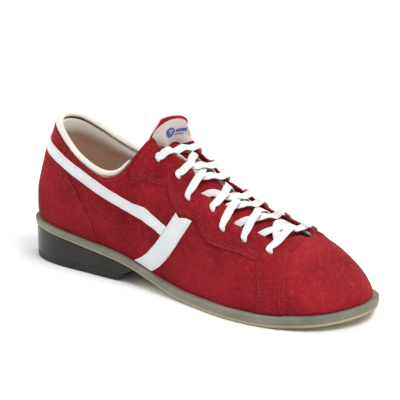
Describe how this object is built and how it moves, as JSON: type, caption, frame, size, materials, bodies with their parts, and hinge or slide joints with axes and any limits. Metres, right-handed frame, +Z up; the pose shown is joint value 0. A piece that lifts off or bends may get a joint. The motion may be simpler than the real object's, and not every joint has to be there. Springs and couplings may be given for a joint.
{
  "type": "bowling shoe",
  "caption": "Low lace-up bowling shoe for the right foot, with suede upper, padded collar, welted flat sole and a raised block heel.",
  "frame": {"origin": "centre of the bounding box in plan, on the floor plane that the heel and the ball of the sole rest on", "axes": "+X to the toe, +Y to the inner (medial) side of the foot, +Z up"},
  "size_m": [0.2926, 0.0992, 0.1273],
  "materials": {
    "red_suede": "napped suede",
    "red_suede_bright": "napped suede",
    "white_leather": "smooth",
    "cream_leather": "smooth, soft",
    "tan_lining": "smooth",
    "grey_welt": "matt",
    "beige_sole": "matt",
    "cork": "matt",
    "fibre_board": "matt",
    "steel": "plain",
    "dark_red_fabric": "woven",
    "black_heel": "polished",
    "dark_rubber": "satin",
    "stiffening": "matt",
    "foam": "open-cell foam, taken as rubber",
    "tape": "woven",
    "lace_cotton": "flat braid",
    "clear_tip": "glossy",
    "label_fabric": "woven satin",
    "blue_print": "printed"
  },
  "bodies": {
    "shoe": {"outsole": "beige_sole", "welt": "grey_welt", "bottom_filler": "cork", "shank": "steel", "insole_board": "fibre_board", "sockliner": "dark_red_fabric", "heel_block": "black_heel", "heel_lift": "dark_rubber", "heel_nails": "steel", "vamp": "red_suede", "quarter_lateral": "red_suede", "quarter_medial": "red_suede", "eyestay_lateral": "red_suede_bright", "eyestay_medial": "red_suede_bright", "heel_counter_cover": "red_suede", "saddle_strap_lateral": "white_leather", "saddle_strap_medial": "white_leather", "collar_band_lateral": "white_leather", "collar_band_medial": "white_leather", "collar_binding": "cream_leather", "toe_puff": "stiffening", "heel_stiffener": "stiffening", "collar_foam": "foam", "facing_tape_lateral": "tape", "facing_tape_medial": "tape", "collar_lining": "tan_lining", "vamp_lining": "tan_lining", "tongue_anchor": "red_suede", "lace": "lace_cotton", "lace_tips": "clear_tip"},
    "tongue": {"tongue_outer": "red_suede_bright", "tongue_foam": "foam", "tongue_lining": "tan_lining", "tongue_label": "label_fabric", "label_emblem": "blue_print"}
  },
  "joints": [
    {"name": "tongue_hinge", "type": "hinge", "parent": "shoe", "child": "tongue", "pos_m": [0.104, 0, 0.044], "axis": [0, 1, 0], "range_deg": [-18, 0], "stiffness_Nm_per_rad": 0.5, "springref_deg": 1.72}
  ]
}
